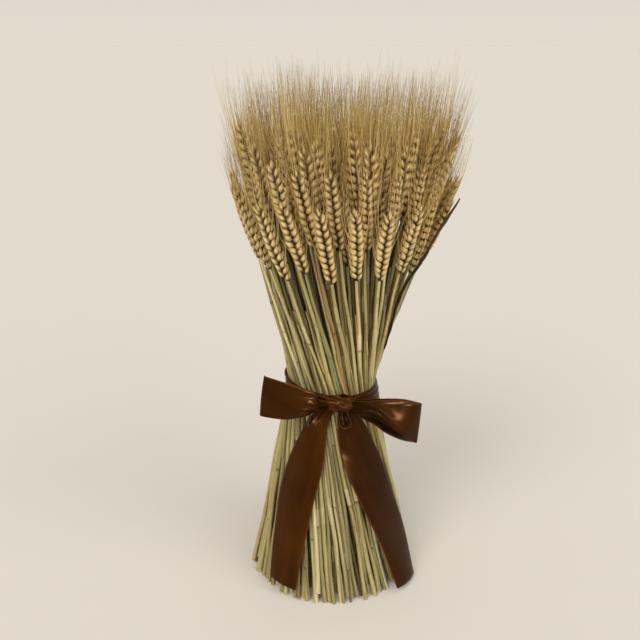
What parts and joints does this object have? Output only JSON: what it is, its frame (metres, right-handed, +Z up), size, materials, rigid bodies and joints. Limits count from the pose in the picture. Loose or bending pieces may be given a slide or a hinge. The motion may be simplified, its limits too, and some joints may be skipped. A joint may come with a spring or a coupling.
{
  "type": "bundle of dried wheat",
  "caption": "Standing sheaf of bearded dried wheat, twisted at the waist and tied with a dark satin ribbon in a bow with long tails.",
  "frame": {"origin": "on the floor under the middle of the sheaf's outline", "axes": "+Z up along the sheaf, the bow faces -Y"},
  "size_m": [0.2016, 0.1937, 0.4424],
  "materials": {
    "wheat": "dry straw, satin on the stems and matt on the ears",
    "dried_leaf": "matt, brittle dried leaf",
    "satin_ribbon": "satin weave with a soft sheen"
  },
  "bodies": {
    "root": {"stalk_01": "wheat", "stalk_02": "wheat", "stalk_03": "wheat", "stalk_04": "wheat", "stalk_05": "wheat", "stalk_06": "wheat", "stalk_07": "wheat", "stalk_08": "wheat", "stalk_09": "wheat", "stalk_10": "wheat", "stalk_11": "wheat", "stalk_12": "wheat", "stalk_13": "wheat", "stalk_14": "wheat", "stalk_15": "wheat", "stalk_16": "wheat", "stalk_17": "wheat", "stalk_18": "wheat", "stalk_19": "wheat", "stalk_20": "wheat", "stalk_21": "wheat", "stalk_22": "wheat", "stalk_23": "wheat", "stalk_24": "wheat", "stalk_25": "wheat", "stalk_26": "wheat", "stalk_27": "wheat", "stalk_28": "wheat", "stalk_29": "wheat", "stalk_30": "wheat", "stalk_31": "wheat", "stalk_32": "wheat", "stalk_33": "wheat", "stalk_34": "wheat", "stalk_35": "wheat", "stalk_36": "wheat", "stalk_37": "wheat", "stalk_38": "wheat", "stalk_39": "wheat", "stalk_40": "wheat", "stalk_41": "wheat", "stalk_42": "wheat", "stalk_43": "wheat", "stalk_44": "wheat", "stalks_inner_1": "wheat", "stalks_inner_2": "wheat", "stalks_inner_3": "wheat", "stalks_inner_4": "wheat", "stalks_inner_5": "wheat", "stalks_inner_6": "wheat", "flag_leaf": "dried_leaf", "ribbon_band": "satin_ribbon", "ribbon_knot": "satin_ribbon", "ribbon_loop_left": "satin_ribbon", "ribbon_loop_right": "satin_ribbon", "ribbon_tail_left": "satin_ribbon", "ribbon_tail_right": "satin_ribbon"}
  },
  "joints": []
}
